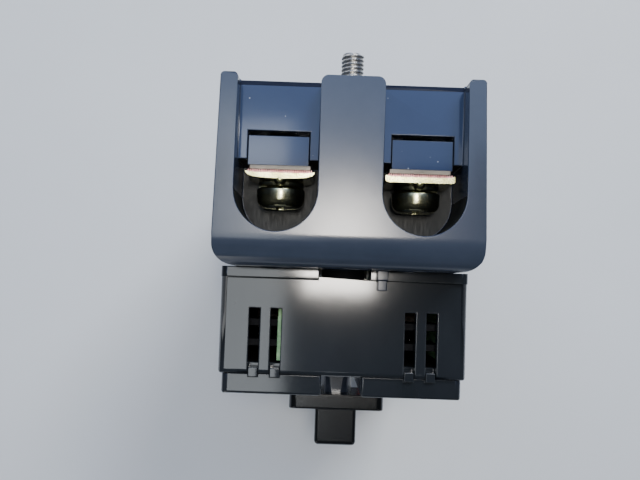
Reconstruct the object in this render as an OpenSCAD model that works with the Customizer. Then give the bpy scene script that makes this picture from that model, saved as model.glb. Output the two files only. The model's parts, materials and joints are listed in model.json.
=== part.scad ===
// Two-pole motor protection breaker, panel mounted.
// Millimetres. The back face lies on Y = 0 and the front looks towards -Y.
// +X is the width and +Z the length, with the line terminals at the top.
// Flat outlines are drawn as (x, d), (z, d) or (x, z), where d is the distance in front of the insert plane,
// which lies back_d in front of the back face.

/* [Body] */
// Width of the base over its widest line
body_w = 45; // [44.8:0.1:46]
// Length of the base from end face to end face
body_l = 96; // [95:0.5:100]
// Distance of the insert plane in front of the back face
back_d = 0.5; // [0.4:0.1:0.6]
// Depth of the base's front deck
base_d = 31.3; // [31.1:0.1:31.6]
// Depth of the cover's front face
cover_d = 50.6; // [50.4:0.1:51]
// Depth of the raised front plates
front_d = 54.2; // [54:0.1:54.5]
// Distance of the cover's end wall behind the end face
end_set = 14; // [13.8:0.1:14.2]

/* [Terminals] */
// Distance of a terminal chamber's middle from the centre plane
pole_x = 12.25; // [12.1:0.05:12.4]
// Distance of the terminal screws from the centre plane
term_x = 11.85; // [11.8:0.05:12]
// Width of a terminal chamber
chamber_w = 13.8; // [13.6:0.1:14]
// Distance of the terminal screws from the end face
screw_e = 9.5; // [9.3:0.1:9.7]
// Radius of a terminal screw's head
head_r = 4.25; // [4:0.05:4.3]
// Radius of the hole for the screwdriver over a terminal screw
driver_r = 3.6; // [3.4:0.1:3.6]

/* [Handle] */
// Width of the grip
grip_w = 9; // [8:0.5:11]
// Width of the handle's flange
flange_w = 20.4; // [18:0.2:22]
// Depth of the grip's tip
tip_d = 69; // [66:0.5:71]

/* [Mounting] */
// Distance of the mounting screws from the end faces
mount_e = 7.5; // [7.3:0.1:8]
// Length of the M4 mounting screws under the head
mount_len = 25; // [23:1:28]

/* [Contacts] */
// Angle by which the contacts stand open with the handle in its middle place
open_deg = 11; // [9:0.5:11]

/* [Hidden] */
$fn = 96;
zt = body_l / 2;
draft = 0.47;
shoulder_d = 26;
mouth_r = 1.3;
prong_r = 0.7;
edge_r = 3.3;
u_r = chamber_w / 2;
u_c = 18.8;
recess_z = zt - 4.5;
plate_d = 14.2;
wall_z = zt - 14.5;
cav_z = wall_z - 2;
cav_x = 20.1;
screw_z = zt - screw_e;
mount_z = zt - mount_e;
seat_d = 18;
cover_z = zt - end_set;
cover_x = 22.35;
foot_z = cover_z + 0.8;
foot_d = base_d + 1.9;
lid_d = cover_d - 2;
vent_d = 38.7;
vent_w = 1.95;
vent_xs = [11.15, 15.05];
lid_screw_z = 27;
handle_c = [0, 39];
bar_c = [-4, 24];
crank_c = handle_c - [6.2, 0];
lever_c = bar_c - [9.5, 0];
cradle_c = [7, 29];
trip_c = [-17.5, 42];
hinge_c = [-22.8, 31];
frame_x = 5.2;
arm_x = 14.4;
chute_z = 13.5;
button_x = 8.5;
button_z = -24;

navy = [0.20, 0.22, 0.33];
black = [0.08, 0.08, 0.09];
brown = [0.16, 0.11, 0.09];
fibre = [0.62, 0.78, 0.56];
steel = [0.72, 0.72, 0.70];
tin = [0.80, 0.76, 0.68];
copper = [0.78, 0.48, 0.33];
zinc = [0.80, 0.72, 0.42];
white = [0.85, 0.85, 0.83];

// One node to draw, or "all"

module along_x(x0, x1) translate([x0, -back_d, 0]) rotate([180, -90, 0]) linear_extrude(x1 - x0) children();

module along_y(d0, d1) translate([0, -d0 - back_d, 0]) rotate([90, 0, 0]) linear_extrude(d1 - d0) children();

module along_z(z0, z1) translate([0, -back_d, z1]) rotate([180, 0, 0]) linear_extrude(z1 - z0) children();

module block(x0, x1, d0, d1, z0, z1) translate([x0, -d1 - back_d, z0]) cube([x1 - x0, d1 - d0, z1 - z0]);

module both_sides() {
  children();
  mirror([1, 0, 0]) children();
}

module both_ends() {
  children();
  mirror([0, 0, 1]) children();
}

// Outline with all four corners rounded
module rounded(a0, a1, b0, b1, r) {
  translate([a0 + r, b0]) square([a1 - a0 - 2 * r, b1 - b0]);
  translate([a0, b0 + r]) square([a1 - a0, b1 - b0 - 2 * r]);
  for (a = [a0 + r, a1 - r], b = [b0 + r, b1 - r]) translate([a, b]) circle(r);
}

// Outline rounded only on its front side
module front_rounded(a0, a1, b0, b1, r) {
  translate([a0, b0]) square([a1 - a0, b1 - b0 - r]);
  translate([a0 + r, b0]) square([a1 - a0 - 2 * r, b1 - b0]);
  for (a = [a0 + r, a1 - r]) translate([a, b1 - r]) circle(r);
}

// What a rounding of radius r takes off a corner at the origin
module corner(r) difference() {
  translate([-0.5, -0.5]) square([r + 0.5, r + 0.5]);
  translate([r, r]) circle(r);
}

module disc(c, r) translate(c) circle(r);

module turned(c, a) translate(c) rotate(a) translate(-c) children();

// A coil drawn as separate turns round an axis along X
module turns_x(c, x0, n, pitch, r, wire)
  for (i = [0 : n - 1])
    translate([x0 + i * pitch, -c[1] - back_d, c[0]]) rotate([0, 90, 0]) rotate_extrude() translate([r, 0]) circle(wire, $fn = 24);

// A coil drawn as separate turns round an axis along the depth
module turns_y(x, z, d0, n, pitch, r, wire)
  for (i = [0 : n - 1])
    translate([x, -(d0 + i * pitch) - back_d, z]) rotate([90, 0, 0]) rotate_extrude() translate([r, 0]) circle(wire, $fn = 24);

// ---- Housing ----

module base_section() difference() {
  union() {
    polygon([
      [-body_w / 2 + draft, -back_d], [body_w / 2 - draft, -back_d], [body_w / 2, shoulder_d], [body_w / 2, base_d - edge_r],
      [-body_w / 2, base_d - edge_r], [-body_w / 2, shoulder_d]
    ]);
    front_rounded(-body_w / 2, body_w / 2, shoulder_d, base_d, edge_r);
  }
  translate([-body_w / 2 + draft, -back_d]) corner(prong_r);
  mirror([1, 0]) translate([-body_w / 2 + draft, -back_d]) corner(prong_r);
}

module base_profile() polygon([
  [-zt, -back_d], [zt, -back_d], [zt, shoulder_d], [zt - 0.5, shoulder_d + 2], [zt - 1.3, shoulder_d + 3.9],
  [zt - 2.2, base_d - 0.5], [zt - 3.2, base_d], [-zt + 3.2, base_d], [-zt + 2.2, base_d - 0.5],
  [-zt + 1.3, shoulder_d + 3.9], [-zt + 0.5, shoulder_d + 2], [-zt, shoulder_d]
]);

module recess_section() {
  translate([pole_x - u_r, -2]) square([chamber_w, u_c + 2]);
  disc([pole_x, u_c], u_r);
  translate([pole_x + u_r, -back_d]) corner(prong_r);
  translate([pole_x - u_r, -back_d]) mirror([1, 0]) corner(mouth_r);
}

module chamber_section() {
  translate([pole_x - u_r, plate_d - 1]) square([chamber_w, u_c - plate_d + 1]);
  disc([pole_x, u_c], u_r);
}

// Everything one terminal takes out of the base
module terminal_cut() {
  along_z(recess_z, zt + 1) recess_section();
  along_z(wall_z, recess_z + 0.5) chamber_section();
  along_x(pole_x - u_r, pole_x + u_r) polygon([
    [recess_z + 0.2, -1], [recess_z - 0.8, -1], [recess_z - 0.8, -back_d], [recess_z, 0.5], [recess_z + 0.2, 0.5]
  ]);
  block(pole_x - 5.3, pole_x + 5.3, 8.3, plate_d + 0.1, wall_z + 1, recess_z + 0.1);
  block(term_x - 5.3, term_x + 5.3, plate_d - 0.05, plate_d + 1.05, cav_z - 0.1, wall_z + 0.1);
  along_y(5, 9) disc([term_x, screw_z], 2.8);
  along_y(u_c, base_d + 1) disc([term_x, screw_z], driver_r);
}

module cavity() difference() {
  block(-cav_x, cav_x, 3, base_d + 1, -cav_z, cav_z);
  // Wall between the poles, low in the middle where the mechanism stands
  block(-1.5, 1.5, 2, 18, -cav_z - 1, cav_z + 1);
  block(-1.5, 1.5, 17, base_d, 9.6, cav_z + 1);
  block(-1.5, 1.5, 17, base_d, -cav_z - 1, -20);
  both_ends() along_y(2, base_d) disc([0, lid_screw_z], 4);
  // Ribs under the conductors
  both_sides() for (x = [7.5, 15.6]) {
    block(x, x + 2, 2, plate_d - 0.02, 11, cav_z + 1);
    block(x, x + 2, 2, plate_d - 0.02, -cav_z - 1, -27.5);
  }
  // Seats for the mechanism's feet
  both_sides() for (z = [6.5, -19]) block(4.9, 8.6, 2, 20, z, z + 5.5);
}

// Snap hook that holds the cover's foot
module hook() {
  block(5.7, 7.65, base_d - 0.5, foot_d - 0.2, foot_z + 0.35, foot_z + 2.4);
  block(5.85, 7.5, foot_d - 0.3, foot_d + 1.7, foot_z + 0.35, foot_z + 1.6);
  block(5.85, 7.5, foot_d + 0.15, foot_d + 1.7, foot_z - 0.6, foot_z + 0.5);
}

module base() color(navy) {
  difference() {
    intersection() {
      along_z(-zt, zt) base_section();
      along_x(-body_w, body_w) base_profile();
    }
    both_ends() both_sides() terminal_cut();
    both_ends() {
      along_y(-2, base_d + 1) disc([0, mount_z], 2.25);
      along_y(seat_d, base_d + 1) disc([0, mount_z], 4.3);
    }
    cavity();
    both_ends() along_y(20, base_d + 1) disc([0, lid_screw_z], 1.65);
    both_sides() {
      block(cav_x - 0.1, 21.3, bar_c[1], base_d + 1, bar_c[0] - 2.05, bar_c[0] + 2.05);
      along_x(cav_x - 0.1, 21.3) disc(bar_c, 2.05);
      for (z = [9.2, -16.3]) along_y(14, 21) disc([7.3, z], 0.82);
    }
  }
  both_ends() hook();
}

module cover_shell() intersection() {
  along_y(base_d, cover_d) rounded(-cover_x, cover_x, -cover_z, cover_z, 1.2);
  along_z(-cover_z, cover_z) front_rounded(-cover_x, cover_x, base_d, cover_d, 0.9);
  along_x(-cover_x, cover_x) front_rounded(-cover_z, cover_z, base_d, cover_d, 0.9);
}

module cover() color(black) difference() {
  union() {
    difference() {
      union() {
        cover_shell();
        both_ends() difference() {
          along_y(base_d, foot_d) rounded(-cover_x, cover_x, cover_z - 6, foot_z, 1.2);
          block(-4.6, 4.6, base_d - 1, foot_d + 1, cover_z, foot_z + 1);
        }
      }
      block(-20.3, 20.3, base_d - 1, lid_d, -cover_z + 2, cover_z - 2);
      both_ends() block(-4.6, 4.6, base_d - 1, foot_d - 0.2, cover_z - 3, cover_z + 1);
    }
    both_ends() along_y(base_d, lid_d + 0.5) disc([0, lid_screw_z], 4);
    along_y(lid_d - 2, lid_d + 0.5) disc([button_x, button_z], 5);
  }
  both_ends() {
    along_y(base_d - 1, cover_d) disc([0, lid_screw_z], 1.8);
    along_y(lid_d - 0.4, cover_d + 1) disc([0, lid_screw_z], 3.1);
  }
  block(-3.6, 3.6, lid_d - 1, cover_d + 1, -7.6, 7.6);
  along_y(lid_d - 3, cover_d) disc([button_x, button_z], 1.6);
  along_y(lid_d - 1, cover_d + 1) disc([button_x, button_z], 3.6);
  both_sides() for (x = vent_xs) block(x, x + vent_w, vent_d, cover_d + 1, cover_z - 2.6, cover_z + 1);
}

// One raised front plate, on the +X side
module front_plate() {
  intersection() {
    along_y(cover_d, front_d) intersection() {
      rounded(-3, 21.75, -cover_z + 1, cover_z - 1, 1.2);
      rounded(3.6, 30, -cover_z + 1, cover_z - 1, 0.4);
    }
    along_z(-cover_z, cover_z) front_rounded(3.6, 21.75, cover_d, front_d, 0.5);
    along_x(3, 22) front_rounded(-cover_z + 1, cover_z - 1, cover_d, front_d, 0.5);
  }
  for (x = vent_xs) block(x + 0.1, x + vent_w - 0.1, cover_d - 1.2, cover_d + 0.5, cover_z - 2, cover_z - 0.25);
}

module front_plate_left() color(black) mirror([1, 0, 0]) front_plate();

module front_plate_right() color(black) difference() {
  front_plate();
  along_y(cover_d - 1, front_d + 1) disc([button_x, button_z], 2.6);
  along_y(cover_d - 1, cover_d + 1.9) disc([button_x, button_z], 3.6);
}

module label() color(white) along_y(front_d, front_d + 0.15) rounded(-19.5, -12, -26, 26, 0.8);

// Raised bar and ring that mark the handle's two ends
module position_marks() color(white) {
  block(14.9, 15.7, front_d, front_d + 0.2, 11, 15);
  along_y(front_d, front_d + 0.2) difference() {
    disc([15.3, -13], 2);
    disc([15.3, -13], 1.3);
  }
}

module cover_screws() color(steel) both_ends() {
  difference() {
    along_y(lid_d - 0.4, cover_d - 0.4) disc([0, lid_screw_z], 2.9);
    along_y(cover_d - 1.4, cover_d) translate([0, lid_screw_z]) {
      square([3.6, 0.7], center = true);
      square([0.7, 3.6], center = true);
    }
  }
  along_y(22, lid_d - 0.4) disc([0, lid_screw_z], 1.6);
}

module mounting_screws() color(steel) both_ends() {
  difference() {
    along_y(seat_d + 0.8, seat_d + 3.4) disc([0, mount_z], 3.6);
    along_y(seat_d + 1.9, seat_d + 4) translate([0, mount_z]) {
      square([4.2, 0.9], center = true);
      square([0.9, 4.2], center = true);
    }
  }
  along_y(-back_d - 0.1, seat_d + 0.8) disc([0, mount_z], 1.75);
  along_y(seat_d + 0.8 - mount_len + 0.5, -back_d) disc([0, mount_z], 1.98);
  along_y(seat_d + 0.8 - mount_len, seat_d + 1.3 - mount_len) disc([0, mount_z], 1.6);
}

module mounting_washers() color(steel) both_ends() along_y(seat_d, seat_d + 0.8) difference() {
  disc([0, mount_z], 4);
  disc([0, mount_z], 2.1);
}

// ---- Terminals ----

module insert() difference() {
  block(pole_x - 5.2, pole_x + 5.2, 9.1, plate_d, wall_z + 1.1, recess_z - 0.05);
  block(term_x - 4.05, term_x + 4.05, 10.95, plate_d + 1, screw_z - 4.05, screw_z + 4.05);
  along_y(9, 12) disc([term_x, screw_z], 2.8);
}

module terminal_inserts() color(navy) both_ends() both_sides() insert();

module terminal_nuts() color(steel) both_ends() both_sides() along_y(11, plate_d) difference() {
  translate([term_x - 4, screw_z - 4]) square(8);
  disc([term_x, screw_z], 2.55);
}

module terminal_plate(z0) difference() {
  block(term_x - 5.2, term_x + 5.2, plate_d, plate_d + 0.8, z0, zt - 4);
  along_y(plate_d - 1, plate_d + 2) disc([term_x, screw_z], 2.7);
}

// Line terminal, strap and fixed contact in one piece
module line_conductor() {
  terminal_plate(12.1);
  block(arm_x - 2.2, arm_x + 2.2, plate_d + 0.8, plate_d + 2.2, 13, 17.4);
}

module line_conductor_left() color(tin) mirror([1, 0, 0]) line_conductor();

module line_conductor_right() color(tin) line_conductor();

// Load terminal and strap with an upturned end that carries the bimetal
module load_conductor() mirror([0, 0, 1]) {
  terminal_plate(28.6);
  block(arm_x - 3.5, term_x + 5.2, plate_d, 26, 28.6, 29.6);
}

module load_conductor_left() color(tin) mirror([1, 0, 0]) load_conductor();

module load_conductor_right() color(tin) load_conductor();

module clamp() {
  difference() {
    along_y(plate_d + 1.1, plate_d + 2.4) rounded(term_x - 5.92, term_x + 5.92, screw_z - 3.6, screw_z + 6.2, 1.1);
    along_y(plate_d, plate_d + 3) disc([term_x, screw_z], 2.6);
    for (z = [screw_z + 3.2, screw_z + 4.8]) block(term_x - 5, term_x + 5, plate_d, plate_d + 1.3, z, z + 0.8);
  }
  for (s = [-1, 1]) {
    translate([s * 5.71, 0, 0]) block(term_x - 0.21, term_x + 0.21, plate_d + 0.2, plate_d + 1.2, screw_z - 2, screw_z + 4.6);
  }
  // Spring washer, held captive on the plate
  difference() {
    along_y(plate_d + 2.4, plate_d + 3.4) disc([term_x, screw_z], 4.1);
    along_y(plate_d + 2, plate_d + 4) disc([term_x, screw_z], 2.6);
    block(term_x + 1, term_x + 5, plate_d + 2.5, plate_d + 4, screw_z - 0.3, screw_z + 0.3);
  }
}

module clamp_line_left() color(zinc) mirror([1, 0, 0]) clamp();

module clamp_line_right() color(zinc) clamp();

module clamp_load_left() color(zinc) mirror([0, 0, 1]) mirror([1, 0, 0]) clamp();

module clamp_load_right() color(zinc) mirror([0, 0, 1]) clamp();

module screw() translate([term_x, -(plate_d + 3.45) - back_d, screw_z]) rotate([90, 0, 0]) {
  difference() {
    rotate_extrude() {
      square([head_r, 2.4]);
      translate([0, 2.3]) square([head_r - 1.1, 1.2]);
      translate([head_r - 1.1, 2.4]) circle(1.1);
    }
    for (a = [0, 90]) rotate(a) translate([-2.8, -0.6, 1.9]) cube([5.6, 1.2, 3]);
  }
  translate([0, 0, -9]) cylinder(r = 2.48, h = 9.1);
}

module screw_line_left() color(zinc) mirror([1, 0, 0]) screw();

module screw_line_right() color(zinc) screw();

module screw_load_left() color(zinc) mirror([0, 0, 1]) mirror([1, 0, 0]) screw();

module screw_load_right() color(zinc) mirror([0, 0, 1]) screw();

// ---- Arc chutes ----

module chute_wall(x) along_x(x, x + 0.8) {
  translate([chute_z, 17]) square([17, 30.5]);
  translate([chute_z + 16, 40.2]) square([2.1, 8]);
}

// Two fibre walls with their inner faces 7.2 apart
module chute_walls(xc) {
  chute_wall(xc - 4.4);
  chute_wall(xc + 3.6);
}

module chute_plates(xc) for (i = [0 : 7]) along_y(18.6 + 3.7 * i, 19.8 + 3.7 * i) difference() {
  translate([xc - 3.58, 19.5]) square([7.16, 11]);
  polygon([[xc - 2, 19], [xc + 2, 19], [xc, 24]]);
}

// The left chute stands further out in its pocket, so its inner wall shows in the vent
module chute_walls_left() color(fibre) chute_walls(-15.5);

module chute_plates_left() color(steel) chute_plates(-15.5);

module chute_walls_right() color(fibre) chute_walls(arm_x);

module chute_plates_right() color(steel) chute_plates(arm_x);

// ---- Overload and short-circuit release ----

module bimetal() difference() {
  block(arm_x - 2.6, arm_x + 2.6, 17, 42, -28.6, -27.8);
  along_z(-29, -27) disc([arm_x + 1.2, 39.5], 1.1);
}

module bimetal_left() color(copper) mirror([1, 0, 0]) bimetal();

module bimetal_right() color(copper) bimetal();

module calibration_screws() color(zinc) both_sides() {
  along_z(-30.2, -22.3) disc([arm_x + 1.2, 39.5], 1.1);
  along_z(-31, -30.2) disc([arm_x + 1.2, 39.5], 1.9);
}

module yoke() {
  block(arm_x - 5.1, arm_x + 5.1, 19, 28, -cav_z + 0.1, -30.1);
  for (s = [-4.5, 4.5]) translate([arm_x + s, 0, 0]) along_x(-0.6, 0.6) difference() {
    union() {
      translate([-cav_z + 0.1, 19]) square([cav_z - 24.6, 9]);
      polygon([[-28, 27], [-24.5, 27], [-21.2, 30], [-21.2, 32], [-22, 33], [-24, 33]]);
    }
    disc(hinge_c, 0.96);
  }
}

module yoke_left() color(steel) mirror([1, 0, 0]) yoke();

module yoke_right() color(steel) yoke();

module armature() {
  block(arm_x - 5, arm_x + 5, 19.2, 27.4, -23.4, -22.2);
  block(arm_x - 3.6, arm_x + 3.6, 27, 32.2, -23.4, -22.2);
  block(arm_x - 3.6, arm_x - 0.7, 32, 41, -23.4, -22.2);
  along_x(arm_x - 5.4, arm_x + 5.4) disc(hinge_c, 0.9);
  along_x(arm_x - 3.6, arm_x + 3.6) disc(hinge_c, 1.4);
}

module armature_left() color(steel) mirror([1, 0, 0]) armature();

module armature_right() color(steel) armature();

// Flexible braid from the bimetal's foot to the contact arm
module braid() along_x(arm_x - 1.8, arm_x + 1.8) polygon([
  [-27.8, 17], [-27.8, 18.2], [-15, 18], [-10, 19.4], [-8.4, 22.4], [-7.3, 21.6], [-8.6, 18], [-14, 16.6], [-27.8, 16.6]
]);

module braids() color(copper) both_sides() braid();

// ---- Mechanism ----

module frame_plate() {
  along_x(frame_x, frame_x + 1) difference() {
    union() {
      polygon([
        [-20.6, 21], [-17.2, 20], [-13.5, 20], [-11, 24], [-8.3, 24], [0.3, 24], [3.5, 24], [6.5, 20], [12, 20],
        [12, 34], [5, 44], [-20.6, 44]
      ]);
    }
    disc(bar_c, 4.3);
    translate(bar_c - [4.3, 6]) square([8.6, 6]);
    disc(handle_c, 1.5);
    disc(cradle_c, 1.2);
    disc(trip_c, 2.08);
    translate(trip_c - [2.08, 0]) square([4.16, 4]);
  }
  for (z = [6.5, -19]) difference() {
    block(frame_x, 8.5, 20, 21, z, z + 5.5);
    along_y(19, 22) disc([7.3, z + 2.7], 0.85);
  }
}

module frame_plates() color(steel) {
  both_sides() frame_plate();
  block(-frame_x - 0.5, frame_x + 0.5, 32.5, 33.5, 9, 11.5);
}

module frame_screws() color(steel) both_sides() for (z = [9.2, -16.3]) {
  along_y(15, 21) disc([7.3, z], 0.8);
  along_y(21, 22) disc([7.3, z], 1.1);
}

module pivot_pins() color(steel) {
  along_x(-9, 9) disc(handle_c, 1.5);
  along_x(-frame_x - 1.4, frame_x + 1.4) disc(cradle_c, 1.2);
}

// Stem with its hub
module handle() color(navy) {
  along_x(-3.1, 3.1) difference() {
    union() {
      disc(handle_c, 3.9);
      translate([-2.6, handle_c[1]]) square([5.2, 5]);
    }
    disc(handle_c, 1.55);
  }
  block(-3.4, 3.4, handle_c[1] + 4.5, handle_c[1] + 18.6, -2.6, 2.6);
}

// Flange and grip
module handle_cap() color(black) {
  intersection() {
    along_y(57.6, 60.9) rounded(-flange_w / 2, flange_w / 2, -6.5, 6.5, 1.6);
    along_x(-flange_w, flange_w) front_rounded(-6.5, 6.5, 57, 60.9, 0.5);
  }
  intersection() {
    along_y(60.5, tip_d) rounded(-grip_w / 2, grip_w / 2, -3.8, 3.8, 0.8);
    along_z(-4, 4) front_rounded(-grip_w / 2, grip_w / 2, 60.5, tip_d, 1);
    along_x(-grip_w, grip_w) front_rounded(-3.8, 3.8, 60.5, tip_d, 1);
  }
}

// Steel plates on both sides of the hub, with the crank pin
module handle_lever() color(steel) {
  both_sides() along_x(3.15, 4.15) difference() {
    union() {
      disc(handle_c, 3.8);
      disc(crank_c, 2.1);
      translate([crank_c[0], crank_c[1] - 2.1]) square([6.2, 4.2]);
    }
    disc(handle_c, 1.6);
  }
  along_x(-3.2, 3.2) disc(crank_c, 1);
}

module handle_springs() color(steel) both_sides() {
  turns_x(handle_c, 6.75, 3, 0.85, 2.1, 0.3);
  block(6.5, 6.9, handle_c[1] - 8, handle_c[1] - 2, 1.6, 2);
}

module link() color(steel) along_x(-1.4, 1.4) difference() {
  union() {
    disc(crank_c, 2.05);
    disc(lever_c, 2.05);
    polygon([crank_c - [1.5, -0.7], crank_c + [1.5, -0.7], lever_c + [1.5, -0.7], lever_c - [1.5, -0.7]]);
  }
  disc(crank_c, 1.06);
  disc(lever_c, 1.25);
}

// Crossbar and its spring brackets, with the contacts open by open_deg
module crossbar() color(brown) {
  along_x(-arm_x + 2.2, arm_x - 2.2) disc(bar_c, 4);
  along_x(-21.2, 21.2) disc(bar_c, 2);
  both_sides() {
    along_x(arm_x + 2.2, 18.5) disc(bar_c, 4);
    for (x = [arm_x - 3.5, arm_x + 2.2]) along_x(x, x + 1.3) turned(bar_c, open_deg) polygon([
      [-7, 26.5], [-1, 21], [9, 29.5], [9, 31.2], [1.5, 31.2]
    ]);
    along_x(arm_x - 3.5, arm_x + 3.5) turned(bar_c, open_deg) translate([1.5, 29.5]) square([7.5, 1.7]);
  }
}

// Steel lever plates round the bar, with the pin that takes the link
module crossbar_lever() color(steel) {
  both_sides() along_x(1.8, 3) difference() {
    union() {
      disc(bar_c, 5.5);
      disc(lever_c, 2.1);
      translate([lever_c[0], lever_c[1] - 2.1]) square([9.5, 4.2]);
    }
    disc(bar_c, 4.02);
  }
  along_x(-1.9, 1.9) disc(lever_c, 1);
}

module opening_springs() color(steel) both_sides() {
  turns_x(bar_c, 8.9, 2, 0.75, 4.65, 0.3);
  block(8.7, 9.1, bar_c[1] - 4.9, bar_c[1] - 4.5, bar_c[0], bar_c[0] + 9);
}

// Contact arm with its contact tip
module arm() {
  along_x(arm_x - 2, arm_x + 2) turned(bar_c, open_deg) difference() {
    union() {
      disc(bar_c, 3.6);
      polygon([[-5, 20.6], [-2.4, 27.2], [8.5, 20.2], [17.4, 19.6], [17.4, 17.8], [2, 17.8]]);
    }
    disc(bar_c, 2.06);
  }
  along_x(arm_x - 1.8, arm_x + 1.8) turned(bar_c, open_deg) translate([13.2, 16.5]) square([4, 1.4]);
}

module arm_left() color(copper) mirror([1, 0, 0]) arm();

module arm_right() color(copper) arm();

module contact_spring() translate([arm_x, -bar_c[1] - back_d, bar_c[0]]) rotate([open_deg, 0, 0])
  translate([0, back_d, 9.2]) turns_y(0, 0, -0.22, 6, 1.06, 1.6, 0.22);

module contact_spring_left() color(steel) mirror([1, 0, 0]) contact_spring();

module contact_spring_right() color(steel) contact_spring();

// Latched lever; its nose rests beside the trip bar
module cradle() color(steel) {
  both_sides() along_x(4.35, 4.95) difference() {
    union() {
      disc(cradle_c, 2.4);
      polygon([[7, 31.4], [-11, 38], [-13.4, 42], [-14.9, 41.4], [-14.2, 35.4], [-12, 33.6], [6.2, 26.7]]);
    }
    disc(cradle_c, 1.25);
  }
  along_x(-4.4, 4.4) translate([-13.9, 35.6]) square([1.2, 2.4]);
}

module trip_bar() color(black) {
  along_x(-19.5, 19.5) disc(trip_c, 2);
  both_sides() along_x(arm_x - 2.5, arm_x + 2.5) polygon([
    [-21.1, 36], [-19.7, 36], [-17, 40.4], [-17.5, 43.5], [-19, 43.5], [-21.1, 41.5]
  ]);
  block(7.5, 9.5, trip_c[1] - 1, trip_c[1] + 1, -25, trip_c[0]);
}

module trip_spring() color(steel) {
  turns_x(trip_c, -9.4, 4, 0.75, 2.45, 0.3);
  block(-7.4, -7, trip_c[1] - 6, trip_c[1] - 0.5, trip_c[0] + 2.15, trip_c[0] + 2.55);
}

module trip_button() color([0.75, 0.12, 0.10]) {
  along_y(cover_d + 1.2, front_d + 1) disc([button_x, button_z], 2.4);
  along_y(cover_d + 1.2, cover_d + 1.8) disc([button_x, button_z], 3.4);
  along_y(trip_c[1] + 1.6, cover_d + 1.5) disc([button_x, button_z], 1.5);
}

module button_spring() color(steel) turns_y(button_x, button_z, lid_d - 0.68, 5, 0.87, 2.5, 0.3);

base();
cover();
front_plate_left();
front_plate_right();
label();
position_marks();
cover_screws();
mounting_screws();
mounting_washers();
terminal_inserts();
terminal_nuts();
line_conductor_left();
line_conductor_right();
load_conductor_left();
load_conductor_right();
chute_walls_left();
chute_walls_right();
chute_plates_left();
chute_plates_right();
bimetal_left();
bimetal_right();
calibration_screws();
yoke_left();
yoke_right();
armature_left();
armature_right();
braids();
frame_plates();
frame_screws();
pivot_pins();
handle();
handle_cap();
handle_lever();
handle_springs();
link();
crossbar();
crossbar_lever();
opening_springs();
arm_left();
arm_right();
contact_spring_left();
contact_spring_right();
cradle();
trip_bar();
trip_spring();
trip_button();
button_spring();
clamp_line_left();
clamp_line_right();
clamp_load_left();
clamp_load_right();
screw_line_left();
screw_line_right();
screw_load_left();
screw_load_right();
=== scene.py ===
"""Looks of a two-pole motor protection breaker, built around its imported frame.

Sizes are in millimetres. A place is (x, d, z): d is the distance in front of the insert plane,
which lies BACK_D in front of the back face.
"""
from collections import namedtuple
import json
import math

import bmesh
import bpy
from mathutils import Matrix, Vector

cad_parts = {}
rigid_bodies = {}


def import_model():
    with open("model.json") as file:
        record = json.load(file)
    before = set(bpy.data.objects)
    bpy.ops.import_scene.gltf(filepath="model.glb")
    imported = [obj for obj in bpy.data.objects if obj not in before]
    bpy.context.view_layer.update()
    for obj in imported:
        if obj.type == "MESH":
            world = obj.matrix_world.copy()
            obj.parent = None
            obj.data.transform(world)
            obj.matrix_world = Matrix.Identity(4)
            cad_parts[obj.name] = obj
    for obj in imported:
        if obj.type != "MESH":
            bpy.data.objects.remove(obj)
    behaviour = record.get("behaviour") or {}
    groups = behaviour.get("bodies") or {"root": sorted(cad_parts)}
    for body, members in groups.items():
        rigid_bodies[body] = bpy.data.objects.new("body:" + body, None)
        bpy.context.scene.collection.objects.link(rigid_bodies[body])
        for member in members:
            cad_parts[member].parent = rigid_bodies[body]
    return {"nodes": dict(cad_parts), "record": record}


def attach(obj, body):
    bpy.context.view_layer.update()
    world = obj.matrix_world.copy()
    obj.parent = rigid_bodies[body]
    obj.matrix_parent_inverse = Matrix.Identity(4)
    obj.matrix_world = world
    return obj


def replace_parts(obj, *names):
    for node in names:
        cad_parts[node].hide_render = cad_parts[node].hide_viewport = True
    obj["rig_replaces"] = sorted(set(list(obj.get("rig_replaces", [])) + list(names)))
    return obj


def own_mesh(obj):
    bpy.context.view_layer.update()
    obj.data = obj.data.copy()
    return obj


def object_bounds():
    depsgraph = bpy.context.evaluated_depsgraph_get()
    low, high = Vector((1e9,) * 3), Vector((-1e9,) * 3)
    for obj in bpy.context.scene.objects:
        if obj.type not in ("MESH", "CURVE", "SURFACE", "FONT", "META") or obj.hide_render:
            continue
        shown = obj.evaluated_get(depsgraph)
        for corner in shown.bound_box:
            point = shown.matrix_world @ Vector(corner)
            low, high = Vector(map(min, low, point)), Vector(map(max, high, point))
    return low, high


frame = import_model()
cad_low, cad_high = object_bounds()

MM = 0.001
BACK_D = 0.5
TERM_X, SCREW_Z, PLATE_D = 11.85, 38.5, 14.2       # terminal screws, and the front of their plates
MOUNT_Z, SEAT_D, WASHER_T = 40.5, 18, 0.8          # mounting screws, their seats and washers
LID_SCREW_Z, LID_D = 27, 48.6                      # cover screws, and the inside of the cover
BAR_Z, BAR_D, OPEN_DEG = -4, 24, 11                # crossbar, and its turn at rest
BUTTON_X, BUTTON_Z, BUTTON_SPRING_D = 8.5, -24, LID_D - 0.68
ARM_X = 14.4
PANEL_Z = 43.5                                     # end panels
COLUMN_X, WALL_X = 5, 20.5                         # the recesses lie between these
SHORT_EDGE = 0.3                                   # shorter edges stay sharp
SIDES = (("left", -1), ("right", 1))
ENDS = (("line", 1), ("load", -1))

Shank = namedtuple("Shank", "start length radius pitch depth chamfer", defaults=(0, 0, 0))


def at(x, d, z):
    return Vector((x * MM, -(d + BACK_D) * MM, z * MM))


# ---- Materials ----

def node(tree, kind, inputs=None, **settings):
    n = tree.nodes.new(kind)
    for key, value in settings.items():
        setattr(n, key, value)
    for key, value in (inputs or {}).items():
        if isinstance(value, bpy.types.NodeSocket):
            tree.links.new(value, n.inputs[key])
        else:
            n.inputs[key].default_value = value
    return n


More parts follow.
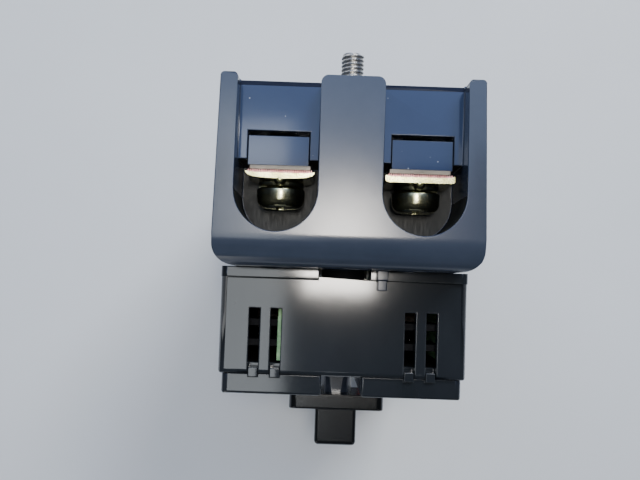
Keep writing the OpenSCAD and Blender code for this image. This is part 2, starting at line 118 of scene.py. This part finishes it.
def ramp(tree, factor, *stops):
    n = node(tree, "ShaderNodeValToRGB", {"Fac": factor})
    for point, (place, colour) in zip(n.color_ramp.elements, stops):
        point.position = place
        point.color = (*colour, 1)
    return n.outputs["Color"]


def spread(tree, value, low, high, start=0.3, end=0.7):
    n = node(tree, "ShaderNodeMapRange", {
        "Value": value, "From Min": start, "From Max": end, "To Min": low, "To Max": high})
    return n.outputs["Result"]


def noise(tree, coords, scale, detail=3.0, stretch=(1, 1, 1), roughness=0.5):
    if stretch != (1, 1, 1):
        mapping = node(tree, "ShaderNodeMapping", {"Vector": coords, "Scale": stretch})
        coords = mapping.outputs["Vector"]
    n = node(tree, "ShaderNodeTexNoise", {
        "Vector": coords, "Scale": scale, "Detail": detail, "Roughness": roughness})
    return n.outputs["Fac"]


def mixed(tree, factor, a, b):
    """Socket a, turned to the plain colour b by the factor."""
    n = node(tree, "ShaderNodeMix", data_type="RGBA")
    sockets = {s.name: s for s in n.inputs
               if s.enabled and (s.name == "Factor") == (s.type == "VALUE")}
    tree.links.new(factor, sockets["Factor"])
    tree.links.new(a, sockets["A"])
    sockets["B"].default_value = (*b, 1)
    return next(s for s in n.outputs if s.type == "RGBA")


def surface(name, dark, light, rough, metallic=0.0, patch=120, grain=2500, bump=0.12, depth=0.02,
            stretch=(1, 1, 1), flecks=None, fleck_size=700, waves=0.0, specular=0.5):
    """Colour in soft patches, grain in bump and roughness, and sparse light flecks."""
    m = bpy.data.materials.new(name)
    m.use_nodes = True
    t = m.node_tree
    shader = t.nodes["Principled BSDF"]
    coords = node(t, "ShaderNodeTexCoord").outputs["Object"]
    soft = noise(t, coords, patch, 5.0, stretch, 0.6)
    fine = noise(t, coords, grain, 3.0, stretch)
    colour = ramp(t, soft, (0.3, dark), (0.72, light))
    if flecks:
        cells = node(t, "ShaderNodeTexVoronoi", {
            "Vector": coords, "Scale": fleck_size, "Randomness": 1.0})
        near = spread(t, cells.outputs["Distance"], 1.0, 0.0, 0.04, 0.13)
        chosen = node(t, "ShaderNodeSeparateColor", {"Color": cells.outputs["Color"]})
        few = spread(t, chosen.outputs["Red"], 0.0, 1.0, 0.86, 0.9)
        both = node(t, "ShaderNodeMath", {0: near, 1: few}, operation="MULTIPLY").outputs[0]
        colour = mixed(t, both, colour, flecks)
    t.links.new(colour, shader.inputs["Base Color"])
    t.links.new(spread(t, fine, *rough), shader.inputs["Roughness"])
    shader.inputs["Metallic"].default_value = metallic
    shader.inputs["Specular IOR Level"].default_value = specular
    height = node(t, "ShaderNodeBump", {"Height": fine, "Strength": bump, "Distance": depth * MM})
    if waves:
        height = node(t, "ShaderNodeBump", {
            "Height": noise(t, coords, patch * 3, 2.0), "Strength": waves, "Distance": 0.2 * MM,
            "Normal": height.outputs["Normal"]})
    t.links.new(height.outputs["Normal"], shader.inputs["Normal"])
    return m


FINISH = {
    "navy_plastic": surface(
        "navy_moulding", (0.030, 0.039, 0.058), (0.038, 0.048, 0.070), (0.15, 0.22), grain=7500,
        bump=0.5, depth=0.008, flecks=(0.14, 0.16, 0.20), fleck_size=420, waves=0.02),
    "black_plastic": surface(
        "black_moulding", (0.010, 0.0125, 0.015), (0.017, 0.020, 0.024), (0.06, 0.12), patch=60,
        grain=8500, bump=0.3, depth=0.003, stretch=(1, 0.5, 1), waves=0.02),
    "grip_plastic": surface(
        "matt_black", (0.004, 0.005, 0.006), (0.007, 0.008, 0.010), (0.16, 0.26), grain=4200,
        bump=0.5),
    "mechanism_plastic": surface(
        "brown_phenolic", (0.045, 0.028, 0.020), (0.085, 0.055, 0.040), (0.38, 0.55),
        flecks=(0.2, 0.15, 0.1)),
    "fibre_sheet": surface(
        "green_fibre", (0.16, 0.36, 0.16), (0.42, 0.66, 0.36), (0.6, 0.85), patch=900, grain=2600,
        bump=0.7, depth=0.05, stretch=(1, 1, 0.2)),
    "zinc_steel": surface(
        "zinc_plate", (0.36, 0.35, 0.32), (0.58, 0.56, 0.51), (0.24, 0.40), metallic=1.0,
        patch=300, grain=5200, bump=0.2, stretch=(1, 1, 0.3)),
    "deion_steel": surface(
        "arc_plate", (0.005, 0.005, 0.006), (0.010, 0.010, 0.011), (0.55, 0.75), metallic=0.2,
        patch=260, bump=0.25, specular=0.1),
    "tinned_copper": surface(
        "tin_plate", (0.085, 0.076, 0.062), (0.145, 0.128, 0.104), (0.32, 0.5), metallic=1.0,
        patch=420, grain=4800, bump=0.35, stretch=(0.35, 1, 1)),
    "copper": surface(
        "copper", (0.50, 0.22, 0.12), (0.80, 0.45, 0.30), (0.25, 0.42), metallic=1.0, patch=350,
        bump=0.25),
    "bimetal": surface(
        "bimetal", (0.34, 0.27, 0.22), (0.58, 0.48, 0.40), (0.28, 0.45), metallic=1.0, patch=240,
        bump=0.2, stretch=(1, 0.2, 1)),
    "chromated_steel": surface(
        "yellow_chromate", (0.22, 0.21, 0.13), (0.62, 0.60, 0.36), (0.17, 0.26), metallic=1.0,
        patch=420, grain=3600, bump=0.18),
    "spring_steel": surface(
        "spring_wire", (0.36, 0.35, 0.34), (0.60, 0.59, 0.57), (0.2, 0.34), metallic=1.0,
        patch=500, bump=0.15),
    "label_film": surface(
        "label_film", (0.60, 0.60, 0.57), (0.74, 0.74, 0.71), (0.34, 0.5), patch=200, grain=5200),
    "mark_paint": surface(
        "white_paint", (0.66, 0.66, 0.63), (0.80, 0.80, 0.77), (0.4, 0.55), patch=600, grain=5200,
        bump=0.25),
    "button_plastic": surface(
        "red_button", (0.36, 0.020, 0.015), (0.50, 0.035, 0.025), (0.18, 0.3), patch=300,
        bump=0.1, waves=0.1),
}
# Bevel faces: lighter on black plastics as edge wear with painted highlight, darker on navy as
# painted shade.
EDGE_WEAR_AND_PAINTED_LIGHT = {
    "navy_plastic": surface(
        "navy_edge_painted_shade", (0.018, 0.025, 0.044), (0.030, 0.039, 0.062), (0.18, 0.27), patch=500,
        grain=6500, bump=0.15),
    "black_plastic": surface(
        "black_edge_wear_and_highlight", (0.014, 0.017, 0.020), (0.030, 0.034, 0.038), (0.14, 0.24), patch=500,
        bump=0.2),
    "grip_plastic": surface(
        "grip_edge_wear_and_highlight", (0.016, 0.017, 0.019), (0.035, 0.036, 0.039), (0.35, 0.5), patch=500,
        bump=0.3),
}
# Recess panels and insert ends: a smoother finish, and a darker, bluer navy that is painted shade.
RECESS_PAINTED_SHADE = surface(
    "navy_polished_painted_shade", (0.009, 0.020, 0.056), (0.012, 0.025, 0.067), (0.07, 0.13), patch=90,
    grain=5200, bump=0.05, depth=0.01, flecks=(0.45, 0.48, 0.52), fleck_size=800, waves=0.02)
# Terminal chambers: a grey drawn very dark with little shine, painted shade.
CHAMBER_PAINTED_SHADE = surface(
    "grey_chamber_painted_shade", (0.009, 0.0105, 0.010), (0.018, 0.020, 0.019), (0.36, 0.5), patch=150,
    stretch=(1, 0.2, 1), specular=0.18)
SHADE = surface(
    "navy_shaded", (0.004, 0.006, 0.016), (0.006, 0.009, 0.022), (0.3, 0.45), bump=0.1,
    specular=0.15)
# Inside of the cover: near black, matt and with little shine, painted shade.
COVER_INSIDE_SHADE = surface(
    "inside_black_painted_shade", (0.003, 0.003, 0.004), (0.006, 0.006, 0.007), (0.7, 0.85), bump=0.3,
    specular=0.2)
# Painted highlight: the clamp ends that face the front are drawn in a lighter chromate.
CLAMP_END_HIGHLIGHT = surface(
    "chromate_painted_highlight", (0.36, 0.34, 0.13), (0.80, 0.78, 0.42), (0.20, 0.34), metallic=1.0,
    patch=700, grain=5200, bump=0.25)
COPPER_TEETH = surface(
    "bitten_copper", (0.26, 0.09, 0.08), (0.62, 0.32, 0.29), (0.22, 0.36), metallic=1.0,
    patch=900, bump=0.3)


def slot_of(name):
    return next(p["material_slot"] for p in frame["record"]["subparts"] if p["node"] == name)


def body_of(name):
    bodies = frame["record"]["behaviour"]["bodies"]
    return next(body for body, members in bodies.items() if name in members)


# ---- Mesh tools ----

def mesh_of(bm, name):
    mesh = bpy.data.meshes.new(name)
    bm.to_mesh(mesh)
    bm.free()
    return mesh


def from_bmesh(bm, name):
    o = bpy.data.objects.new(name, mesh_of(bm, name))
    bpy.context.scene.collection.objects.link(o)
    return o


def reopened(o):
    bm = bmesh.new()
    bm.from_mesh(o.data)
    return bm


def applied(o):
    """Replaces the object's mesh by what its modifiers make of it."""
    bpy.context.view_layer.update()
    evaluated = o.evaluated_get(bpy.context.evaluated_depsgraph_get())
    mesh = bpy.data.meshes.new_from_object(evaluated)
    o.modifiers.clear()
    o.data = mesh


def place_of(point):
    """The (x, d, z) of a point of a mesh."""
    x, y, z = point / MM
    return x, -y - BACK_D, z


def softened(o, width, segments=2, angle=30.0, smooth=35.0, only=None):
    """Rounds the sharp edges, or only those that a test picks, and keeps the flats flat."""
    if width:
        bm = reopened(o)
        weight = bm.edges.layers.float.new("bevel_weight_edge")
        for e in bm.edges:
            if len(e.link_faces) == 2 and e.calc_face_angle() > math.radians(angle):
                start, end = (v.co for v in e.verts)
                if not only or only(*place_of((start + end) / 2), (end - start) / MM):
                    e[weight] = 1.0
        bm.to_mesh(o.data)
        bm.free()
        b = o.modifiers.new("round", "BEVEL")
        b.width, b.segments, b.limit_method = width * MM, segments, "WEIGHT"
        b.use_clamp_overlap = False
        # Bevel faces take the second material: edge wear and painted highlight on black plastics,
        # painted shade on navy.
        b.material = 1
        applied(o)
    o.data.shade_smooth()
    o.data.set_sharp_from_angle(angle=math.radians(smooth))
    w = o.modifiers.new("flats", "WEIGHTED_NORMAL")
    w.keep_sharp, w.weight, w.thresh = True, 100, 0.001
    applied(o)


def finished(o, name, width=0.0, segments=2, angle=30.0, smooth=35.0, zones=(), only=None):
    """Gives a piece its finish, its rounding and its body, and lets it stand for a CAD node.

    A zone is (material, test of a face's place and normal).
    """
    slot = slot_of(name)
    o.data.materials.clear()
    # The second material is the edge colour: wear and painted highlight on black plastics, painted
    # shade on navy.
    for material in (FINISH[slot], EDGE_WEAR_AND_PAINTED_LIGHT.get(slot, FINISH[slot]), *(zone[0] for zone in zones)):
        o.data.materials.append(material)
    for face in o.data.polygons:
        place = place_of(face.center)
        face.material_index = next(
            (i for i, (_, test) in enumerate(zones, 2) if test(*place, face.normal)), 0)
    softened(o, width, segments, angle, smooth, only)
    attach(o, body_of(name))
    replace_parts(o, name)
    return o


def cad_copy(name, piece, width, **more):
    """A piece made of a CAD node's own surfaces, joined into whole faces and then rounded."""
    bm = reopened(frame["nodes"][name])
    bmesh.ops.remove_doubles(bm, verts=bm.verts, dist=0.002 * MM)
    bmesh.ops.dissolve_limit(
        bm, angle_limit=math.radians(0.8), verts=bm.verts, edges=bm.edges, delimit=set())
    bmesh.ops.recalc_face_normals(bm, faces=bm.faces)
    finished(from_bmesh(bm, piece), name, width=width, **more)


def skin(bm, rings):
    """Joins rings of points into a closed skin."""
    for a, b in zip(rings, rings[1:]):
        n = len(a)
        for i in range(n):
            j = (i + 1) % n
            bm.faces.new((a[i], a[j], b[j], b[i]))
    bm.faces.new(rings[0][::-1])
    bm.faces.new(rings[-1])


def across(axis):
    """An axis of length 1 and two directions square to it."""
    axis = Vector(axis).normalized()
    side = axis.orthogonal().normalized()
    return axis, side, axis.cross(side)


def lathe(bm, centre, axis, profile, steps=48, wobble=None):
    """A turned body: profile holds (radius, height) pairs along the axis from the centre."""
    axis, side, other = across(axis)
    rings = []
    for r, h in profile:
        ring = []
        for i in range(steps):
            a = 2 * math.pi * i / steps
            radius = r + (wobble(a, h) if wobble else 0)
            p = centre + (axis * h + (side * math.cos(a) + other * math.sin(a)) * radius) * MM
            ring.append(bm.verts.new(p))
        rings.append(ring)
    skin(bm, rings)


def threaded(bm, centre, axis, shank, rings_per_turn=14):
    """A screw thread: its depth depends on the angle and the height together."""
    steps = max(4, int(shank.length / shank.pitch * rings_per_turn))
    core = shank.radius - shank.chamfer
    profile = [
        (min(shank.radius, core + max(0.0, h) * 1.1, core + (shank.length - h) * 1.1), h)
        for h in (shank.length * i / steps for i in range(steps + 1))]

    def groove(a, h):
        phase = (h / shank.pitch - a / (2 * math.pi)) % 1.0
        return -shank.depth * min(1.0, max(0.0, abs(phase - 0.5) * 2.6 - 0.25))

    lathe(bm, centre, axis, profile, 40, groove)


def block(bm, x0, x1, d0, d1, z0, z1):
    made = bmesh.ops.create_cube(bm, size=1.0)
    centre = at((x0 + x1) / 2, (d0 + d1) / 2, (z0 + z1) / 2)
    for v in made["verts"]:
        v.co = centre + Vector((v.co.x * (x1 - x0), v.co.y * (d1 - d0), v.co.z * (z1 - z0))) * MM


def cut(o, maker):
    """Takes what maker draws out of a piece."""
    bm = bmesh.new()
    maker(bm)
    tool = from_bmesh(bm, "tool")
    b = o.modifiers.new("cut", "BOOLEAN")
    b.operation, b.solver, b.object = "DIFFERENCE", "EXACT", tool
    applied(o)
    bpy.data.objects.remove(tool)


def tube(bm, points, radius, steps=8):
    """A round wire along points."""
    rings = []
    for i, p in enumerate(points):
        ahead = (points[min(i + 1, len(points) - 1)] - points[max(i - 1, 0)]).normalized()
        if not rings:
            side = ahead.orthogonal().normalized()
        side = (side - ahead * side.dot(ahead)).normalized()
        other = ahead.cross(side)
        rings.append([
            bm.verts.new(p + (side * math.cos(a) + other * math.sin(a)) * radius * MM)
            for a in (2 * math.pi * k / steps for k in range(steps))])
    skin(bm, rings)


def helix(centre, axis, length, turns, radius, per_turn=18):
    axis, side, other = across(axis)
    count = int(turns * per_turn)
    points = []
    for i in range(count + 1):
        a = 2 * math.pi * i / per_turn
        along = axis * length * i / count
        points.append(centre + (along + (side * math.cos(a) + other * math.sin(a)) * radius) * MM)
    return points


# ---- Housing ----

def in_recess(x, wall=WALL_X):
    return COLUMN_X < abs(x) < wall


# Faces of the recess panels, which take the painted shade.
def on_panel(x, d, z, n):
    return abs(n.z) > 0.9 and abs(abs(z) - PANEL_Z) < 0.1 and d < PLATE_D


def on_chamfer(x, d, z, n):
    return d < 1.6 and in_recess(x) and 42 < abs(z) < 46 and n.y > 0.2


# Faces of the terminal chambers, which take the grey painted shade.
def in_chamber(x, d, z, n):
    floor_and_sides = 33 < abs(z) < 43.6 and 13 < d < 26 and in_recess(x, 19.5)
    mouth = abs(n.z) < 0.5 and 43 < abs(z) < 47.9 and 21 < d < 26
    return floor_and_sides or mouth


# Faces inside the cover, which take the painted shade.
def inside_cover(x, d, z, n):
    return abs(z) < 32.2 and d < 49 and abs(x) < 20.4


def facing_end(x, d, z, n):
    return abs(n.z) > 0.9


def base_edges(x, d, z, along):
    """All but short edges and those at the feet of the recesses, where rounding would fold."""
    return not (d < 1.9 and in_recess(x) and abs(z) > 30) and along.length > SHORT_EDGE


def cover_edges(x, d, z, along):
    """All but short edges and those at the rim's corners, where rounding would make spikes."""
    corner = abs(x) > 21.7 and 32 < abs(z) < 35 and 32 < d < 34.2
    return along.length > SHORT_EDGE and not corner


# The recess panels are painted shade with a smoother finish.
cad_copy("base", "base_shell", 0.16, only=base_edges,
         zones=[(RECESS_PAINTED_SHADE, on_panel), (SHADE, on_chamfer), (CHAMBER_PAINTED_SHADE, in_chamber)])
cad_copy("cover", "cover_shell", 0.2, only=cover_edges, zones=[(COVER_INSIDE_SHADE, inside_cover)])
cad_copy("front_plate_left", "front_plate_left_shell", 0.15)
cad_copy("front_plate_right", "front_plate_right_shell", 0.15)
# The inserts' end faces take the same painted shade as the recess panels.
cad_copy("terminal_inserts", "terminal_insert_blocks", 0.12, zones=[(RECESS_PAINTED_SHADE, facing_end)])
cad_copy("label", "label_film", 0.03)
cad_copy("position_marks", "position_mark_paint", 0.05)


# ---- Screws and washers ----

def pan_head(bm, x, z, seat, r, h, dome=0.35):
    """A pan head that faces the front."""
    lathe(bm, at(x, seat, z), (0, -1, 0), [
        (r - 0.25, 0), (r - 0.02, 0.2), (r, 0.4), (r - 0.03, h * 0.3), (r - 0.09, h * 0.58),
        (r - 0.2, h * 0.7), (r - 0.48, h * 0.84), (r - 1.0, h - dome * 0.35),
        (r * 0.45, h - dome * 0.06), (r * 0.2, h)], 56)


def screws(name, piece, spots, seat, head_r, head_h, slot, shanks, width=0.06):
    """Cross-slotted screws: heads with their slots cut, and shanks with real threads.

    slot is (length, breadth, depth); a shank with no pitch is plain.
    """
    reach, breadth, deep = slot
    top = seat + head_h
    bm = bmesh.new()
    for x, z in spots:
        pan_head(bm, x, z, seat, head_r, head_h)
    o = from_bmesh(bm, piece)
    for x, z in spots:
        for a, b in ((reach, breadth), (breadth, reach)):
            cut(o, lambda tool: block(
                tool, x - a / 2, x + a / 2, top - deep, top + 1, z - b / 2, z + b / 2))
    softened(o, width, 1, 40)
    bm = reopened(o)
    for x, z in spots:
        for shank in shanks:
            start = at(x, shank.start, z)
            if shank.pitch:
                threaded(bm, start, (0, 1, 0), shank)
            else:
                lathe(bm, start, (0, 1, 0), [(shank.radius, 0), (shank.radius, shank.length)], 40)
    o.data = mesh_of(bm, piece)
    finished(o, name, smooth=45)


def spring_washer(bm, x, z, d0, sign, inner=2.65, outer=4.0, thick=0.72, rise=0.22, gap=0.12):
    """A split ring whose two ends stand apart."""
    section = ((inner, 0), (outer - 0.02, 0), (outer, 0.15), (outer - 0.05, thick - 0.1),
               (outer - 0.12, thick), (inner, thick))
    steps, rings = 44, []
    for i in range(steps + 1):
        a = gap + (2 * math.pi - 2 * gap) * i / steps
        lift = rise * (i / steps - 0.5)
        rings.append([
            bm.verts.new(at(
                x + sign * r * math.cos(a), d0 + h + lift + rise / 2, z + r * math.sin(a)))
            for r, h in section])
    skin(bm, rings)


# Plain shanks pass through the base, and threaded ends stand out of its back.
screws("mounting_screws", "mounting_screw_pair", [(0, MOUNT_Z), (0, -MOUNT_Z)],
       seat=SEAT_D + WASHER_T, head_r=3.6, head_h=2.6, slot=(4.2, 0.9, 1.5), shanks=[
           Shank(start=SEAT_D + 0.85, length=SEAT_D + 1.05, radius=1.75),
           Shank(start=-BACK_D, length=5.7, radius=1.98, pitch=0.7, depth=0.30, chamfer=0.3)])
screws("cover_screws", "cover_screw_pair", [(0, LID_SCREW_Z), (0, -LID_SCREW_Z)],
       seat=LID_D - 0.4, head_r=2.9, head_h=1.95, slot=(3.6, 0.7, 1.1), shanks=[
           Shank(start=LID_D - 0.35, length=26.2, radius=1.58, pitch=1.2, depth=0.3, chamfer=0.5)])

bm = bmesh.new()
for z in (MOUNT_Z, -MOUNT_Z):
    lathe(bm, at(0, SEAT_D, z), (0, -1, 0), [
        (3.9, 0), (4.0, 0.1), (4.0, 0.68), (3.9, 0.78), (2.15, 0.78), (2.1, 0.7)], 56)
finished(from_bmesh(bm, "mounting_washer_pair"), "mounting_washers")

# ---- Terminals ----

# Half outlines of the clamp plates seen from their end: (distance from the middle, back, front)
LENS_HALF = ((5.92, 0.0, 0.3), (5.4, 0.1, 0.78), (4.5, 0.22, 1.08), (3.0, 0.25, 1.22),
             (1.5, 0.25, 1.28))
BOX_HALF = ((5.92, 0.0, 0.85), (5.75, 0.0, 1.15), (5.3, 0.1, 1.28), (4.6, 0.22, 1.3),
            (2.3, 0.25, 1.3))
CLAMP_D = PLATE_D + 1.1                        # back of the clamp plate
CLAMP_CUTS = (-3.6, -3.4, 5.9, 6.2)            # along the terminal, from the screw
END_LEAN = 0.09
BITE_ROWS, BITE_WIDTH, TEETH = (4.3, 5.1, 5.87), 10.6, 29
TOOTH = ((-0.19, -0.3, 1.42), (0.19, -0.3, 1.42), (0.19, 0.31, 1.42), (-0.19, 0.31, 1.42),
         (0, -0.3, 0.84), (0, 0.31, 0.84))
TOOTH_FACES = ((0, 1, 4), (2, 3, 5), (1, 2, 5, 4), (3, 0, 4, 5), (0, 3, 2, 1))


def on_teeth(x, d, z, n):
    return d < PLATE_D + 1.36 and abs(abs(x) - TERM_X) < 5.5 and abs(z) > SCREW_Z + 3.9


def on_clamp_end(x, d, z, n):
    return abs(z) > SCREW_Z + 6 and d > PLATE_D + 1.4 and facing_end(x, d, z, n)


def clamp_plate(name, x, z, sz, half):
    """The plate with its hole for the screw."""
    outline = [(-u, low, high) for u, low, high in half] + [(0, half[-1][1], 1.3), *half[::-1]]
    bm = bmesh.new()
    rings = []
    for w in CLAMP_CUTS:
        lean = END_LEAN if w == CLAMP_CUTS[-1] else 0.0
        ring = [bm.verts.new(at(x + u, CLAMP_D + low, z + sz * w)) for u, low, _ in outline]
        ring += [bm.verts.new(at(x + u, CLAMP_D + high, z + sz * (w - lean)))
                 for u, _, high in outline[::-1]]
        rings.append(ring)
    skin(bm, rings)
    bmesh.ops.recalc_face_normals(bm, faces=bm.faces)
    o = from_bmesh(bm, name)
    cut(o, lambda tool: lathe(tool, at(x, PLATE_D, z), (0, -1, 0), [(2.6, 0), (2.6, 4)], 40))
    softened(o, 0.08, 2, 40)
    return o


def add_teeth(bm, x, z, sz):
    """Rows of teeth on the side that bites the wire."""
    for row in BITE_ROWS:
        for i in range(TEETH):
            u = x - BITE_WIDTH / 2 + BITE_WIDTH * i / (TEETH - 1)
            t = [bm.verts.new(at(u + a, PLATE_D + h, z + sz * (row + b))) for a, b, h in TOOTH]
            for face in TOOTH_FACES:
                bm.faces.new([t[k] for k in face])


for side, sx in SIDES:
    for end, sz in ENDS:
        key = f"{end}_{side}"
        x, z = sx * TERM_X, sz * SCREW_Z
        clamp = clamp_plate("clamp_plate_" + key, x, z, sz, LENS_HALF if sx < 0 else BOX_HALF)
        bm = reopened(clamp)
        add_teeth(bm, x, z, sz)
        spring_washer(bm, x, z, PLATE_D + 2.42, sx)
        # The bump that holds the washer on the plate
        lathe(bm, at(x, PLATE_D + 2.35, z), (0, 0, sz), [
            (1.05, 3.2), (1.05, 5.0), (0.9, 5.7), (0.55, 6.05), (0.1, 6.15)], 20)
        bmesh.ops.recalc_face_normals(bm, faces=bm.faces)
        clamp.data = mesh_of(bm, clamp.name)
        # The clamp ends take the painted highlight, and the teeth take copper.
        finished(clamp, "clamp_" + key, smooth=40,
                 zones=[(COPPER_TEETH, on_teeth), (CLAMP_END_HIGHLIGHT, on_clamp_end)])
        screws("screw_" + key, "terminal_screw_" + key, [(x, z)], seat=PLATE_D + 3.45,
               head_r=4.25, head_h=3.5, slot=(5.6, 1.2, 1.6), width=0.1, shanks=[
                   Shank(start=PLATE_D + 3.5, length=8.95, radius=2.48, pitch=0.8, depth=0.42,
                         chamfer=0.5)])

cad_copy("terminal_nuts", "terminal_nut_set", 0.12, segments=1)
for side, _ in SIDES:
    for end, _ in ENDS:
        cad_copy(f"{end}_conductor_{side}", f"{end}_conductor_bar_{side}", 0.1)

# ---- Handle and trip button ----


def long_upright_edges(x, d, z, along):
    return abs(along.y) > 0.99 * along.length and along.length > 8


# The whole stem takes the darker navy of the edges, painted shade, as it stands deep in the slot
# between the front plates.
cad_copy("handle", "handle_stem", 2.55, segments=9, angle=60, smooth=60, only=long_upright_edges,
         zones=[(EDGE_WEAR_AND_PAINTED_LIGHT["navy_plastic"], lambda x, d, z, n: True)])
cad_copy("handle_cap", "handle_grip", 0.22, segments=3)
cad_copy("handle_lever", "handle_lever_plates", 0.08, segments=1)
cad_copy("trip_button", "trip_button_cap", 0.25, segments=3)


# ---- Springs ----

def coil(name, piece, foot, axis, length, turns, radius, wire):
    bm = bmesh.new()
    tube(bm, helix(foot, axis, length, turns, radius), wire)
    return finished(from_bmesh(bm, piece), name, smooth=60)


button_foot = at(BUTTON_X, BUTTON_SPRING_D, BUTTON_Z)
spring = coil("button_spring", "button_spring_coil", button_foot, (0, -1, 0),
              length=3.48, turns=5.5, radius=2.5, wire=0.3)
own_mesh(spring)

tilt = math.radians(OPEN_DEG)
arm_up = Vector((0, -math.cos(tilt), -math.sin(tilt)))
arm_along = Vector((0, -math.sin(tilt), math.cos(tilt)))
CONTACT_SPRING = 5.3
for side, sx in SIDES:
    foot = at(sx * ARM_X, BAR_D, BAR_Z) + arm_along * 9.2 * MM - arm_up * 0.22 * MM
    spring = coil("contact_spring_" + side, "contact_spring_coil_" + side, foot, arm_up,
                  length=CONTACT_SPRING, turns=6.5, radius=1.6, wire=0.22)
    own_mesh(spring)

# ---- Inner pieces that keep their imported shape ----

replaced = {name for o in bpy.data.objects for name in list(o.get("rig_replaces", []))}
for name, o in frame["nodes"].items():
    if name not in replaced:
        o.data.materials.clear()
        o.data.materials.append(FINISH[slot_of(name)])

# ---- Floor, light and camera ----

FLOOR_GAP, FLOOR_REACH = 0.0002, 3.0
bm = bmesh.new()
bmesh.ops.create_grid(bm, x_segments=8, y_segments=8, size=FLOOR_REACH)
for v in bm.verts:
    v.co.z = cad_low.z - FLOOR_GAP
floor = from_bmesh(bm, "floor")
floor.data.materials.append(surface(
    "pale_floor", (0.70, 0.72, 0.71), (0.76, 0.78, 0.77), (0.45, 0.6), patch=8, grain=900,
    bump=0.05))


def lamp(name, place, size, power, colour, target=None):
    """An area light in metres and watts, which shines straight down or at a target."""
    data = bpy.data.lights.new(name, "AREA")
    data.shape, data.size, data.size_y = "RECTANGLE", size[0], size[1]
    data.energy, data.color = power, colour
    o = bpy.data.objects.new(name, data)
    o.location = place
    if target:
        way = Vector(target) - Vector(place)
        o.rotation_euler = way.to_track_quat("-Z", "Y").to_euler()
    bpy.context.scene.collection.objects.link(o)


lamp("key", (0.008, -0.010, 0.39), (0.044, 0.058), 0.56, (1.0, 0.95, 0.88))
lamp("main", (0.30, 0.50, 0.62), (0.30, 0.30), 6.0, (0.95, 0.97, 1.0), target=(0, -0.02, 0.02))
lamp("fill", (-0.0725, -0.04, 0.58), (0.075, 0.30), 0.36, (0.90, 0.96, 1.0))
lamp("sky", (0.0, 0.17, 0.60), (0.60, 0.20), 0.9, (0.50, 0.66, 1.0))
lamp("front", (-0.35, -0.80, 0.12), (0.50, 0.50), 2.0, (0.98, 0.99, 1.0), target=(0, -0.03, 0))
lamp("back", (-0.55, 0.70, 0.15), (0.50, 0.50), 3.0, (0.96, 0.98, 1.0), target=(0, -0.03, 0))

# The studio is blue-grey behind the object and dim in front of it
world = bpy.data.worlds.new("studio")
world.use_nodes = True
tree = world.node_tree
coords = node(tree, "ShaderNodeTexCoord").outputs["Generated"]
way = node(tree, "ShaderNodeSeparateXYZ", {"Vector": coords}).outputs["Y"]
sky = ramp(tree, way, (0.0, (0.05, 0.055, 0.06)), (0.5, (0.30, 0.42, 0.80)))
tree.links.new(sky, tree.nodes["Background"].inputs["Color"])
tree.nodes["Background"].inputs["Strength"].default_value = 1.0
bpy.context.scene.world = world

camera_data = bpy.data.cameras.new("camera")
camera_data.lens, camera_data.sensor_width = 42.18, 36
camera_data.clip_start, camera_data.clip_end = 0.01, 20
camera = bpy.data.objects.new("camera", camera_data)
bpy.context.scene.collection.objects.link(camera)
right = Vector((0.99942, 0.033986, 0.002355))
up = Vector((-0.034066, 0.997541, 0.061254))
ahead = Vector((0.000267, 0.061299, -0.998119))
pose = Matrix((right, up, -ahead)).transposed().to_4x4()
pose.translation = Vector((-0.004726, -0.034895, 0.169866))
camera.matrix_world = pose
bpy.context.scene.camera = camera
